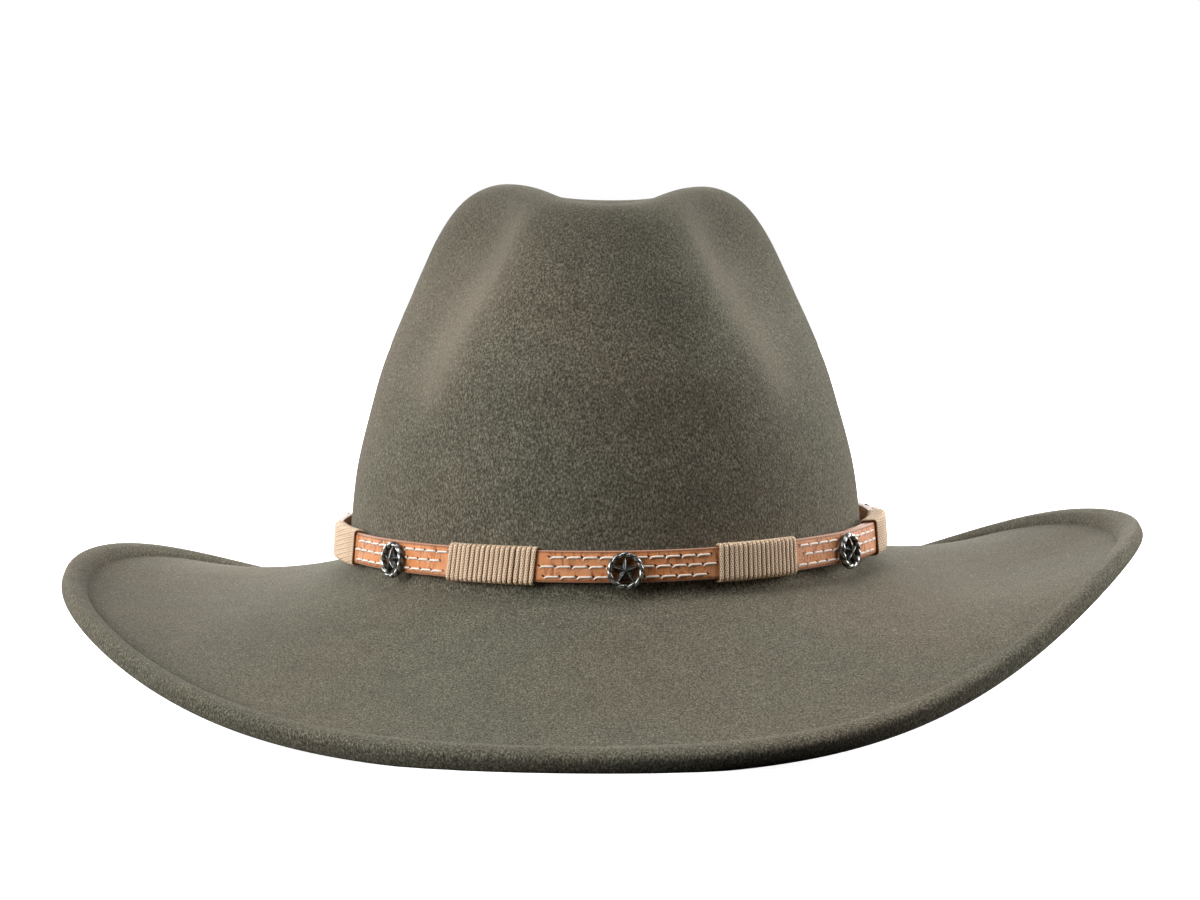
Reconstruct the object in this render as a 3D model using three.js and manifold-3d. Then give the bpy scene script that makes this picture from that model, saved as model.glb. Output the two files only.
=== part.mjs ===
// A wide-brimmed felt hat with a leather band. Millimetres, +Z up, the front of the hat faces -Y, and the origin
// lies on the surface that the hat rests on, under the middle of its outline.
import * as THREE from "three";
import { mergeVertices } from "three/addons/utils/BufferGeometryUtils.js";
import Module from "manifold-3d";

// Felt body
const FELT = 2.6; // thickness of the felt
const CROWN_WIDTH = 164; // across the crown at its root, outside
const CROWN_LENGTH = 207; // along the crown at its root, outside
const CROWN_HEIGHT = 127; // from the root to the top of the dome, before it is creased
const CROWN_LEAN = 1.2; // how far the top leans towards -X
const ROOT_HEIGHT = 38.8; // from the surface to the root line, where crown and brim meet
const ROOT_FOLD = 2; // size of the rounded fold at the root
const BRIM_REACH = 92; // width that the brim's turns are shares of
const HEM_WIDTH = 9; // width of the edge that is turned over on top
const HEM_LOFT = 0.2; // air left inside the turned hem
const HEM_SWELL = 2; // how much fuller the hem is at the front
const HEM_SQUARE = 0.6; // how square its rounded edge is: 1 is a half circle, and less is squarer
const HEM_DROOP = 1.4; // how far the hem hangs below the brim's own line at the front
const REST_PRESS = 1; // how far the hat's weight presses the felt flat where it rests

// Dents of the crown
const CREASE_DEPTH = 24.5; // the front-to-back crease, in the middle
const CREASE_WIDTH = 22; // half-width at which the crease has lost two thirds of its depth
const CREASE_LENGTH = 161; // from the front end to the back end of the crease
const CREASE_SHIFT = 5; // how far its middle lies behind the crown's middle
const CREASE_EASE = 1.7; // how softly it runs out at its ends
const PINCH_DEPTH = 14; // the two pinches at the front
const PINCH_RADIUS = 30; // distance from a pinch's line at which it has lost two thirds of its depth
const FOLD_DEPTH = 2.7; // the fold line that each pinch leaves towards the front
const FOLD_RADIUS = 8; // distance from the fold's line at which it has lost two thirds of its depth

// Band
const GAP = 0.25; // clearance between neighbouring pieces
const STRAP_WIDTH = 9.5;
const STRAP_THICKNESS = 1.8;
const STRAP_EDGE = 0.35; // bevel of the strap's outer edges
const BAND_LIFT = 1.3; // how far the wraps' lower edges sit above the root fold
const BAND_TURN = 5.5; // length along the strap from the hat's front to the first concho
const BINDING_WRAP = 1; // the wrap, counted from 0, that binds the strap's two ends together
const TAIL_SHOWN = 19.6; // length of the tucked end in front of the binding wrap
const TAIL_HIDDEN = 15; // length of the outer end behind the binding wrap
const TAIL_RAMP = 26; // length over which the outer layer climbs over the tucked end
const STATIONS = 7; // conchos round the strap, with a thread wrap half-way between each two
const WRAP_LENGTH = 31.5; // length of strap that a thread wrap covers
const CORD = 0.8; // thickness of the wound cord on the outer face and over the strap's edges
const CORD_BEHIND = 0.5; // thickness of the cord where it is pressed flat behind the strap

// Conchos
const CONCHO_DIAMETER = 11.2;
const CONCHO_RING = 1.7; // radial width of the cast ring
const CONCHO_HEIGHT = 2.3; // the ring's height above the strap
const CONCHO_DROP = 1.3; // the concho's centre lies this far below the strap's middle
const STAR_EDGE = 1.2; // thickness of the star at its outline
const STAR_PEAK = 2.6; // height of the star's middle
const STAR_NOTCH = 1.7; // radius of the notches between the star's points
const STAR_POINTS = 5;
const POST_DIAMETER = 2; // hidden post through the strap

// The crown's levels from the root up. Rise is a share of CROWN_HEIGHT, side of half CROWN_WIDTH, and front and
// back of half CROWN_LENGTH.
const CROWN_LEVELS = [
  { rise: 0.0, side: 1.0, front: 1.0, back: 1.0 },
  { rise: 0.08, side: 0.994, front: 0.985, back: 0.99 },
  { rise: 0.24, side: 0.966, front: 0.96, back: 0.97 },
  { rise: 0.4, side: 0.906, front: 0.92, back: 0.95 },
  { rise: 0.49, side: 0.868, front: 0.895, back: 0.935 },
  { rise: 0.57, side: 0.824, front: 0.856, back: 0.915 },
  { rise: 0.65, side: 0.774, front: 0.816, back: 0.89 },
  { rise: 0.73, side: 0.724, front: 0.775, back: 0.86 },
  { rise: 0.81, side: 0.666, front: 0.717, back: 0.815 },
  { rise: 0.88, side: 0.594, front: 0.657, back: 0.745 },
  { rise: 0.93, side: 0.506, front: 0.572, back: 0.65 },
  { rise: 0.97, side: 0.372, front: 0.433, back: 0.49 },
  { rise: 0.992, side: 0.203, front: 0.24, back: 0.27 },
  { rise: 1.0, side: 0.0, front: 0.0, back: 0.0 },
];

// The brim round the crown. Turn is in degrees from the front, positive towards +X. The rest are shares of
// BRIM_REACH: reach from root to edge, lip the height of the edge's underside, belly how far the brim sags
// between root and edge, and root how far the root line lies above ROOT_HEIGHT.
const BRIM_TURNS = [
  { turn: -150, reach: 0.941, lip: 0.0835, belly: 0.045, root: -0.004 },
  { turn: -120, reach: 0.975, lip: 0.3285, belly: 0.065, root: -0.006 },
  { turn: -90, reach: 0.995, lip: 0.3835, belly: 0.1, root: -0.008 },
  { turn: -60, reach: 0.975, lip: 0.242, belly: 0.08, root: -0.006 },
  { turn: -30, reach: 0.941, lip: 0.035, belly: 0.04, root: -0.002 },
  { turn: 0, reach: 0.93, lip: -0.009, belly: 0.025, root: 0.0 },
  { turn: 30, reach: 0.936, lip: 0.108, belly: 0.04, root: 0.005 },
  { turn: 60, reach: 0.955, lip: 0.4435, belly: 0.08, root: 0.01 },
  { turn: 90, reach: 0.968, lip: 0.5435, belly: 0.1, root: 0.018 },
  { turn: 120, reach: 0.955, lip: 0.455, belly: 0.065, root: 0.028 },
  { turn: 150, reach: 0.936, lip: 0.172, belly: 0.045, root: 0.018 },
  { turn: 180, reach: 0.93, lip: -0.005, belly: 0.025, root: 0.0 },
];

// Where a hand-set piece of the band sits off its even place, as a share of the length between two neighbours.
const HAND_SLIPS = [
  { piece: "wrap", number: 0, slip: 0.03 },
  { piece: "concho", number: 5, slip: -0.25 },
  { piece: "wrap", number: 5, slip: 0.08 },
  { piece: "concho", number: 6, slip: 0.11 },
  { piece: "wrap", number: 6, slip: 0.03 },
];

// Where the band stands off the crown loosely: the turn of the loosest place, in degrees from the front, the slack
// there, and the turn from there in which it falls to a third.
const SLACK_PLACES = [
  { middle: -86, slack: 1.5, spread: 26 },
  { middle: 98, slack: 2.5, spread: 34 },
];

// The dents of the front pinch on the +X side, each pressed in about a line from its deep end to its faint end. Those
// ends are shares of half CROWN_WIDTH aside, half CROWN_LENGTH ahead and CROWN_HEIGHT up. Left is the share of the
// depth that stays at the faint end, and push the direction in which the felt is moved.
const PINCHES = [
  {
    depth: PINCH_DEPTH,
    radius: PINCH_RADIUS,
    deep: [0.595, 0.33, 0.78],
    faint: [0.97, 0.4, 0.745],
    left: 0.17,
    push: [-0.96, 0.22, 0.15],
  },
  {
    depth: FOLD_DEPTH,
    radius: FOLD_RADIUS,
    deep: [0.46, 0.51, 0.886],
    faint: [0.745, 0.62, 0.51],
    left: 0.28,
    push: [-0.81, 0.57, -0.13],
  },
];

// Fineness of the solids
const COLUMNS = 60; // round the hat
const BRIM_STEPS = 5; // across the brim
const STRAP_STEP = 7; // length of strap between two sections
const WRAP_STEPS = 4; // along a thread wrap
const RING_SIDES = 16; // round a concho
const POST_SIDES = 8; // round a post

const wasm = await Module();
wasm.setup();

const turns = Array.from({ length: COLUMNS }, (_, n) => (2 * Math.PI * n) / COLUMNS);

// The value of a column of the brim table at any turn, by trigonometric interpolation through its even rows.
function brimShare(column, turn) {
  const count = BRIM_TURNS.length;
  let value = 0;
  for (const row of BRIM_TURNS) {
    const away = turn - THREE.MathUtils.degToRad(row.turn);
    const half = Math.sin(away / 2);
    const onRow = Math.abs(half) < 1e-9;
    const weight = onRow ? 1 : (Math.sin((count * away) / 2) * Math.cos(away / 2)) / (count * half);
    value += weight * row[column];
  }
  return value;
}

// The crown's level at a place between table rows, by a cubic through them. Past the top row the outline goes on
// down the other side of the dome, so the shares change sign, and below the root it goes straight on.
function crownLevel(place) {
  const last = CROWN_LEVELS.length - 1;
  const start = Math.min(Math.floor(place), last - 1);
  const share = place - start;
  const value = (column, row) => {
    if (row > last) return (column === "rise" ? 1 : -1) * CROWN_LEVELS[2 * last - row][column];
    if (row < 0) return 2 * CROWN_LEVELS[0][column] - CROWN_LEVELS[-row][column];
    return CROWN_LEVELS[row][column];
  };
  const level = {};
  for (const column of ["rise", "side", "front", "back"]) {
    const [a, b, c, d] = [-1, 0, 1, 2].map((step) => value(column, start + step));
    const bend = 2 * a - 5 * b + 4 * c - d;
    const twist = 3 * b - a - 3 * c + d;
    level[column] = 0.5 * (2 * b + (c - a) * share + bend * share ** 2 + twist * share ** 3);
  }
  return level;
}

// The front-to-back crease lowers the top: deepest half-way along it and fading out at both ends.
function pressCrease(point) {
  const along = (point.y - CREASE_SHIFT) / (CREASE_LENGTH / 2);
  const fade = Math.abs(along) < 1 ? Math.cos((Math.PI / 2) * along) ** CREASE_EASE : 0;
  point.z -= CREASE_DEPTH * fade * Math.exp(-((point.x / CREASE_WIDTH) ** 2));
}

// The front pinches push the crown in along slanting lines, alike on both sides.
function pressPinches(point) {
  for (const side of [-1, 1]) {
    for (const { depth, radius, deep, faint, left, push } of PINCHES) {
      const [from, to] = [deep, faint].map(
        ([aside, ahead, rise]) =>
          new THREE.Vector3(
            (side * aside * CROWN_WIDTH) / 2,
            (-ahead * CROWN_LENGTH) / 2,
            ROOT_HEIGHT + rise * CROWN_HEIGHT,
          ),
      );
      const line = new THREE.Line3(from, to);
      const share = line.closestPointToPointParameter(point, true);
      const away = point.distanceTo(line.at(share, new THREE.Vector3()));
      const pressed = depth * THREE.MathUtils.lerp(1, left, share) * Math.exp(-((away / radius) ** 2));
      point.addScaledVector(new THREE.Vector3(side * push[0], push[1], push[2]), pressed);
    }
  }
}

// A point of the crown's outer face.
function crownPoint(turn, place) {
  const level = crownLevel(place);
  const middle = (CROWN_LENGTH / 2) * (level.back - level.front) * 0.5;
  const reach = (CROWN_LENGTH / 2) * (level.back + level.front) * 0.5;
  const foot = BRIM_REACH * brimShare("root", turn) * (1 - level.rise);
  const point = new THREE.Vector3(
    (CROWN_WIDTH / 2) * level.side * Math.sin(turn) - CROWN_LEAN * level.rise,
    middle - reach * Math.cos(turn),
    ROOT_HEIGHT + CROWN_HEIGHT * level.rise + foot,
  );
  pressCrease(point);
  pressPinches(point);
  return point;
}

// The crown's outward normal, from the slopes of its face.
function crownNormal(turn, place) {
  const step = 0.01;
  const around = crownPoint(turn + step, place).sub(crownPoint(turn - step, place));
  const up = crownPoint(turn, place + step).sub(crownPoint(turn, Math.max(place - step, 0)));
  return around.cross(up).normalize();
}

// The place between table rows at which the crown's wall has a given height above the root.
function placeAtHeight(height) {
  let [low, high] = [0, CROWN_LEVELS.length - 1];
  for (let halving = 0; halving < 40; halving += 1) {
    const middle = (low + high) / 2;
    if (crownLevel(middle).rise * CROWN_HEIGHT < height) low = middle;
    else high = middle;
  }
  return low;
}

// Horizontal direction away from the crown at the root.
function outward(turn) {
  return new THREE.Vector3(Math.sin(turn) * CROWN_LENGTH, -Math.cos(turn) * CROWN_WIDTH, 0).normalize();
}

// How much a turn belongs to the hat's front: 1 there, and nothing from the sides backwards.
function frontShare(turn) {
  return Math.max(Math.cos(turn), 0) ** 2;
}

// A point of the brim's underside at a distance from the root line. It runs from the root to the lip and sags
// between them by a parabola. The lip is as high as if the hem did not hang down.
function brimUnder(turn, distance) {
  const root = crownPoint(turn, 0).addScaledVector(new THREE.Vector3(0, 0, 1), -FELT);
  const share = distance / (BRIM_REACH * brimShare("reach", turn));
  const lip = BRIM_REACH * brimShare("lip", turn) + HEM_DROOP * frontShare(turn) - REST_PRESS;
  const sag = 4 * BRIM_REACH * brimShare("belly", turn) * share * (1 - share);
  root.addScaledVector(outward(turn), distance);
  root.z += (lip - root.z) * share - sag;
  return root;
}

// Points of a rounded fold between two faces, with a corner where the faces would meet.
function foldPoints(from, corner, to) {
  const curve = new THREE.QuadraticBezierCurve3(from, corner, to);
  return [1 / 4, 1 / 2, 3 / 4].map((share) => curve.getPoint(share));
}

// The felt's section at one turn, from the top of the crown over the brim and the hem, and back underneath.
function feltSection(turn) {
  const up = new THREE.Vector3(0, 0, 1);
  const top = CROWN_LEVELS.length - 2;
  const wallFoot = placeAtHeight(ROOT_FOLD);
  const places = [...CROWN_LEVELS.keys()].filter((row) => row > wallFoot && row <= top).reverse();
  places.push(wallFoot);
  const crown = places.map((place) => crownPoint(turn, place));
  const lining = places.map((place) => crownPoint(turn, place).addScaledVector(crownNormal(turn, place), -FELT));

  const edge = BRIM_REACH * brimShare("reach", turn);
  const hemStart = edge - HEM_WIDTH;
  const distances = Array.from(
    { length: BRIM_STEPS + 1 },
    (_, n) => ROOT_FOLD + ((hemStart - ROOT_FOLD) * n) / BRIM_STEPS,
  );
  const under = distances.map((distance) => brimUnder(turn, distance));
  const over = under.map((point) => point.clone().addScaledVector(up, FELT));

  const root = crownPoint(turn, 0);
  const innerRoot = root.clone().addScaledVector(outward(turn), -FELT).addScaledVector(up, -FELT);
  const fold = foldPoints(crown.at(-1), root, over[0]);
  const innerFold = foldPoints(under[0], innerRoot, lining.at(-1));

  return [
    ...crown,
    ...fold,
    ...over,
    ...hemSection(turn, edge),
    ...under.reverse(),
    ...innerFold,
    ...lining.reverse(),
  ];
}

// The turned-over hem at one turn: up from the groove, over the folded sheet, whose raw edge is pressed thin, round
// the brim's edge and back below.
function hemSection(turn, edge) {
  const thickness = 2 * FELT + HEM_LOFT + HEM_SWELL * frontShare(turn);
  const radius = thickness / 2;
  const [before, tip, after] = [-0.01, 0, 0.01].map((step) => {
    const point = brimUnder(turn + step, edge);
    return point.setZ(point.z - HEM_DROOP * frontShare(turn + step));
  });
  const run = tip.clone().sub(brimUnder(turn, edge - HEM_WIDTH));
  const up = run.clone().cross(after.sub(before)).normalize();
  const at = (inside, height) =>
    tip.clone().addScaledVector(run, -inside / HEM_WIDTH).addScaledVector(up, height);
  const rounded = [90, 45, 0, -45, -90].map((angle) => {
    const bend = THREE.MathUtils.degToRad(angle);
    const [inwards, upwards] = [Math.cos(bend), Math.sin(bend)].map((value) =>
      Math.sign(value) * Math.abs(value) ** HEM_SQUARE,
    );
    return at(radius * (1 - inwards), radius * (1 + upwards));
  });
  return [
    at(HEM_WIDTH - 0.2 * FELT, 1.3 * FELT),
    at(HEM_WIDTH - 1.2 * FELT, 0.85 * thickness),
    ...rounded,
    at(HEM_WIDTH * 0.6, 0),
  ];
}

// A closed skin over a list of rings. Each ring runs anticlockwise for someone who looks along the rings from the
// first to the last. A ring of one point is a pole, a looped skin joins its last ring to its first, and any other
// first or last ring is closed by a flat end.
function skin(rings, looped = false) {
  const starts = [0];
  rings.forEach((ring) => starts.push(starts.at(-1) + ring.length));
  const index = [];
  for (let n = 0; n < (looped ? rings.length : rings.length - 1); n += 1) {
    const next = (n + 1) % rings.length;
    const [here, there] = [rings[n].length, rings[next].length];
    for (let k = 0; k < Math.max(here, there); k += 1) {
      const [a, b] = [starts[n] + (k % here), starts[n] + ((k + 1) % here)];
      const [c, d] = [starts[next] + (k % there), starts[next] + ((k + 1) % there)];
      if (a !== b) index.push(a, c, b);
      if (c !== d) index.push(b, c, d);
    }
  }
  if (!looped) {
    const last = starts[rings.length - 1];
    for (let k = 1; k < rings[0].length - 1; k += 1) index.push(0, k, k + 1);
    for (let k = 1; k < rings.at(-1).length - 1; k += 1) index.push(last, last + k + 1, last + k);
  }
  return new THREE.BufferGeometry().setFromPoints(rings.flat()).setIndex(index);
}

// Boolean work: a geometry as a solid, and back.
function solidOf(geometry) {
  const bare = new THREE.BufferGeometry().setAttribute("position", geometry.getAttribute("position"));
  const merged = mergeVertices(bare.setIndex(geometry.index), 1e-4);
  const vertProperties = merged.getAttribute("position").array;
  return new wasm.Manifold(
    new wasm.Mesh({ numProp: 3, vertProperties, triVerts: new Uint32Array(merged.index.array) }),
  );
}

function geometryOf(solid) {
  const { vertProperties, triVerts } = solid.getMesh();
  return new THREE.BufferGeometry()
    .setAttribute("position", new THREE.BufferAttribute(vertProperties, 3))
    .setIndex(new THREE.BufferAttribute(triVerts, 1));
}

// Crown and brim in one: every section's points linked into rings, with a pole on each face of the crown's top.
// Where the brim would reach below the surface it is pressed flat.
function feltBody() {
  const sections = turns.map(feltSection);
  const rings = sections[0].map((_, n) => sections.map((section) => section[n]));
  const top = crownPoint(0, CROWN_LEVELS.length - 1);
  const innerTop = top.clone().setZ(top.z - FELT);
  for (const point of rings.flat()) point.z = Math.max(point.z, 0);
  return skin([[top], ...rings, [innerTop]]);
}

// The band lies up the crown's wall, off it by the flattened cord of the wraps. Its wraps' lower edges clear the
// root fold.
const standOff = GAP + CORD_BEHIND + GAP;
const layerPitch = STRAP_THICKNESS + GAP;
const strapFoot = ROOT_FOLD + BAND_LIFT + CORD;
const [footPlace, middlePlace, headPlace] = [0, 0.5, 1].map((share) =>
  placeAtHeight(strapFoot + STRAP_WIDTH * share),
);

// How much further off the crown the band stands at a turn.
function slackAt(turn) {
  return SLACK_PLACES.reduce((sum, { middle, slack, spread }) => {
    const away = turn - THREE.MathUtils.degToRad(middle);
    const inTurn = Math.atan2(Math.sin(away), Math.cos(away));
    return sum + slack * Math.exp(-((THREE.MathUtils.radToDeg(inTurn) / spread) ** 2));
  }, 0);
}

// The strap's frame at a turn: its place on its inner face half-way up, and its directions along, up and out.
function strapFrame(turn, climb = 0) {
  const step = 0.01;
  const place = crownPoint(turn, middlePlace);
  const along = crownPoint(turn + step, middlePlace).sub(crownPoint(turn - step, middlePlace)).normalize();
  const up = crownPoint(turn, headPlace).sub(crownPoint(turn, footPlace));
  up.addScaledVector(along, -up.dot(along)).normalize();
  const out = along.clone().cross(up);
  return { place: place.addScaledVector(out, standOff + slackAt(turn) + climb), along, up, out };
}

// Lengths along the strap's middle, measured from the front of the hat towards +X.
const lengths = [0];
const loopSteps = 720;
for (let n = 0; n < loopSteps; n += 1) {
  const [from, to] = [n, n + 1].map((step) => {
    const frame = strapFrame((2 * Math.PI * step) / loopSteps);
    return frame.place.addScaledVector(frame.out, STRAP_THICKNESS / 2);
  });
  lengths.push(lengths.at(-1) + from.distanceTo(to));
}
const loopLength = lengths.at(-1);

function turnAtLength(length) {
  const inLoop = THREE.MathUtils.euclideanModulo(length, loopLength);
  const n = lengths.findLastIndex((value) => value <= inLoop);
  const share = (inLoop - lengths[n]) / (lengths[n + 1] - lengths[n]);
  return (2 * Math.PI * (n + share)) / loopSteps;
}

// Conchos and wraps alternate at even lengths. One wrap binds the strap's two ends together.
const station = loopLength / (2 * STATIONS);
const slipOf = (piece, number) =>
  station * (HAND_SLIPS.find((row) => row.piece === piece && row.number === number)?.slip ?? 0);
const conchoLength = (n) => BAND_TURN + 2 * n * station + slipOf("concho", n);
const wrapLength = (n) => BAND_TURN + (2 * n + 1) * station + slipOf("wrap", n);
const tailStart = wrapLength(BINDING_WRAP) - WRAP_LENGTH / 2 - TAIL_SHOWN;
const strapEnd = loopLength + wrapLength(BINDING_WRAP) + WRAP_LENGTH / 2 + TAIL_HIDDEN;

// How far the strap has climbed over its tucked end at a length along it.
function climbAt(length) {
  return layerPitch * THREE.MathUtils.smoothstep(length, loopLength + tailStart - TAIL_RAMP, loopLength + tailStart);
}

// A bevelled box section in a strap frame, from one distance out to another and over a half-width up and down.
function boxSection({ place, up, out }, inner, outer, half, innerBevel, outerBevel) {
  const corners = [
    [inner + innerBevel, -half],
    [outer - outerBevel, -half],
    [outer, outerBevel - half],
    [outer, half - outerBevel],
    [outer - outerBevel, half],
    [inner + innerBevel, half],
    [inner, half - innerBevel],
    [inner, innerBevel - half],
  ];
  return corners.map(([x, y]) => place.clone().addScaledVector(out, x).addScaledVector(up, y));
}

// The leather strip, from its tucked end once round the crown and over that end, with a hole for each post.
function bandStrap() {
  const steps = Math.ceil((strapEnd - tailStart) / STRAP_STEP);
  const sections = Array.from({ length: steps + 1 }, (_, n) => {
    const length = tailStart + ((strapEnd - tailStart) * n) / steps;
    const frame = strapFrame(turnAtLength(length), climbAt(length));
    return boxSection(frame, 0, STRAP_THICKNESS, STRAP_WIDTH / 2, STRAP_EDGE / 2, STRAP_EDGE);
  });
  let strip = solidOf(skin(sections));
  for (let n = 0; n < STATIONS; n += 1) {
    const hole = new THREE.CylinderGeometry(
      POST_DIAMETER / 2 + GAP,
      POST_DIAMETER / 2 + GAP,
      4 * STRAP_THICKNESS,
      POST_SIDES,
    ).rotateX(Math.PI / 2);
    strip = strip.subtract(solidOf(hole.applyMatrix4(conchoMatrix(n))));
  }
  return geometryOf(strip);
}

// Cord wound close round the strap, as one sleeve. The binding wrap goes round both layers.
function threadWrap(n) {
  const layers = n === BINDING_WRAP ? STRAP_THICKNESS + layerPitch : STRAP_THICKNESS;
  const frames = Array.from({ length: WRAP_STEPS + 1 }, (_, step) =>
    strapFrame(turnAtLength(wrapLength(n) + WRAP_LENGTH * (step / WRAP_STEPS - 0.5))),
  );
  const half = STRAP_WIDTH / 2 + GAP;
  const hollow = frames.map((frame) => boxSection(frame, -GAP, layers + GAP, half, GAP / 2, GAP / 2));
  const inner = -GAP - CORD_BEHIND;
  const outer = layers + GAP + CORD;
  const sleeve = frames.map((frame) =>
    boxSection(frame, inner, outer, half + CORD, CORD_BEHIND / 2, CORD / 2),
  );
  return skin([...sleeve, ...hollow.reverse()], true);
}

// The place and turn of a concho: its back faces the strap's outer layer, its own Z points out and its Y up.
function conchoMatrix(n) {
  const [before, here, after] = [-1, 0, 1].map((side) => {
    const length = conchoLength(n) + (side * CONCHO_DIAMETER) / 2;
    return strapFrame(turnAtLength(length), climbAt(length + loopLength < strapEnd ? length + loopLength : length));
  });
  const along = after.place.sub(before.place).normalize();
  const up = here.up.addScaledVector(along, -here.up.dot(along)).normalize();
  const out = along.clone().cross(up);
  const place = here.place.addScaledVector(out, STRAP_THICKNESS + GAP).addScaledVector(up, -CONCHO_DROP);
  return new THREE.Matrix4().makeBasis(along, up, out).setPosition(place);
}

// A cast concho in its own frame: ring, star and hidden post in one.
function starConcho() {
  const outer = CONCHO_DIAMETER / 2;
  const middle = outer - CONCHO_RING / 2;
  const bevel = CONCHO_RING / 4;
  const profile = [
    [outer - CONCHO_RING, 0],
    [outer - bevel, 0],
    [outer, bevel],
    [outer, CONCHO_HEIGHT - bevel],
    [outer - bevel, CONCHO_HEIGHT],
    [outer - CONCHO_RING + bevel, CONCHO_HEIGHT],
    [outer - CONCHO_RING, CONCHO_HEIGHT - bevel],
    [outer - CONCHO_RING, 0],
  ].map(([radius, height]) => new THREE.Vector2(radius, height));
  const ring = new THREE.LatheGeometry(profile, RING_SIDES).rotateX(Math.PI / 2);

  const outline = (height) =>
    Array.from({ length: 2 * STAR_POINTS }, (_, k) => {
      const radius = k % 2 ? STAR_NOTCH : middle;
      const angle = Math.PI / 2 - (Math.PI * k) / STAR_POINTS;
      return new THREE.Vector3(radius * Math.cos(angle), radius * Math.sin(angle), height);
    });
  const foot = new THREE.Vector3(0, 0, 0);
  const peak = new THREE.Vector3(0, 0, STAR_PEAK);
  const star = skin([[foot], outline(0), outline(STAR_EDGE), [peak]]);

  const postLength = GAP + STRAP_THICKNESS + STAR_EDGE / 2;
  const post = new THREE.CylinderGeometry(POST_DIAMETER / 2, POST_DIAMETER / 2, postLength, POST_SIDES)
    .rotateX(Math.PI / 2)
    .translate(0, 0, STAR_EDGE / 2 - postLength / 2);
  return geometryOf(solidOf(ring).add(solidOf(star)).add(solidOf(post)));
}

const felt = new THREE.MeshStandardMaterial({ color: 0x67655a, roughness: 0.95, metalness: 0 });
const leather = new THREE.MeshStandardMaterial({ color: 0xa8734b, roughness: 0.6, metalness: 0 });
const cord = new THREE.MeshStandardMaterial({ color: 0xccb394, roughness: 0.75, metalness: 0 });
const pewter = new THREE.MeshStandardMaterial({ color: 0x55544f, roughness: 0.4, metalness: 0.9 });

// Every piece is made round the crown's own axis. The assembly is then moved so that the origin is under the middle
// of the brim's outline.
const assembly = new THREE.Group();

function addPiece(name, geometry, material, matrix = new THREE.Matrix4()) {
  const mesh = new THREE.Mesh(geometry, material);
  mesh.name = name;
  mesh.applyMatrix4(matrix);
  assembly.add(mesh);
}

addPiece("felt_body", feltBody(), felt);
addPiece("band_strap", bandStrap(), leather);
for (let n = 0; n < STATIONS; n += 1) {
  addPiece(`thread_wrap_${n + 1}`, threadWrap(n), cord);
  addPiece(`star_concho_${n + 1}`, starConcho(), pewter, conchoMatrix(n));
}

const outline = new THREE.Box3().setFromObject(assembly).getCenter(new THREE.Vector3());
assembly.position.set(-outline.x, -outline.y, 0);
const hat = new THREE.Group().add(assembly);

export default hat;
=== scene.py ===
"""A wide-brimmed wool felt hat with a stitched leather band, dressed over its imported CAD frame. The hat's
front faces -Y, +X is the viewer's right, and lengths are in millimetres until a mesh is made, which is in
metres."""

import bpy
import numpy as np
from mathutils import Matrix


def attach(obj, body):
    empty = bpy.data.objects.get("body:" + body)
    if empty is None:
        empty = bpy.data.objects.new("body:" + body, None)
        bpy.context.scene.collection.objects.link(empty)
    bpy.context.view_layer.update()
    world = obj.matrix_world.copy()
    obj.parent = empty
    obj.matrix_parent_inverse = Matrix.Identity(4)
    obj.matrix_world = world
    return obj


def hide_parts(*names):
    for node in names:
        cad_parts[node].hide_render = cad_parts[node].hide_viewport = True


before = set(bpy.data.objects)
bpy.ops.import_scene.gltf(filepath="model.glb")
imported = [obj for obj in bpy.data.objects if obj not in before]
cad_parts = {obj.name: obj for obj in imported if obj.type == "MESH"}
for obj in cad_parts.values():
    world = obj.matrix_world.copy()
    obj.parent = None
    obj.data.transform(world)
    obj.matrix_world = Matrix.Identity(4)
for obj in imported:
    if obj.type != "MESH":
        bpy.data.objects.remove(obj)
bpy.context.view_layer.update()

# Felt body. One cone of wool felt, steamed and blocked over a wooden form: crown with a front-to-back
# crease and two front pinches, and a dished brim curled up at the sides, whose edge is turned over on top
# and pressed as a hem. Its shape repeats the CAD source's named sizes and tables, drawn finer.
MM = 0.001
FELT = 2.6
CROWN_WIDTH, CROWN_LENGTH, CROWN_HEIGHT, CROWN_LEAN = 164, 207, 127, 1.2
ROOT_HEIGHT, ROOT_FOLD = 38.8, 2
BRIM_REACH, REST_PRESS = 92, 1
HEM_WIDTH, HEM_LOFT, HEM_SWELL, HEM_SQUARE, HEM_DROOP = 9, 0.2, 2, 0.6, 1.4
CREASE_DEPTH, CREASE_WIDTH, CREASE_LENGTH, CREASE_SHIFT, CREASE_EASE = 24.5, 22, 161, 5, 1.7
# Columns round the felt, and rows over the crown, inside it, over the brim, round each fold and round the
# edge.
FELT_COLUMNS, CROWN_ROWS, LINING_ROWS, BRIM_ROWS, FOLD_ROWS, EDGE_ROWS = 320, 96, 44, 46, 7, 17
HEIGHT_SAMPLES = 8000
# The step to each side, in radians or table rows, over which a slope is taken.
SLOPE_STEP = 0.01

# Levels of the crown: rise is a share of its height, side of half its width, front and back of half its
# length.
CROWN_LEVELS = np.array([
    (0, 1, 1, 1), (0.08, 0.994, 0.985, 0.99), (0.24, 0.966, 0.96, 0.97), (0.4, 0.906, 0.92, 0.95),
    (0.49, 0.868, 0.895, 0.935), (0.57, 0.824, 0.856, 0.915), (0.65, 0.774, 0.816, 0.89),
    (0.73, 0.724, 0.775, 0.86), (0.81, 0.666, 0.717, 0.815), (0.88, 0.594, 0.657, 0.745),
    (0.93, 0.506, 0.572, 0.65), (0.97, 0.372, 0.433, 0.49), (0.992, 0.203, 0.24, 0.27), (1, 0, 0, 0),
])
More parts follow.
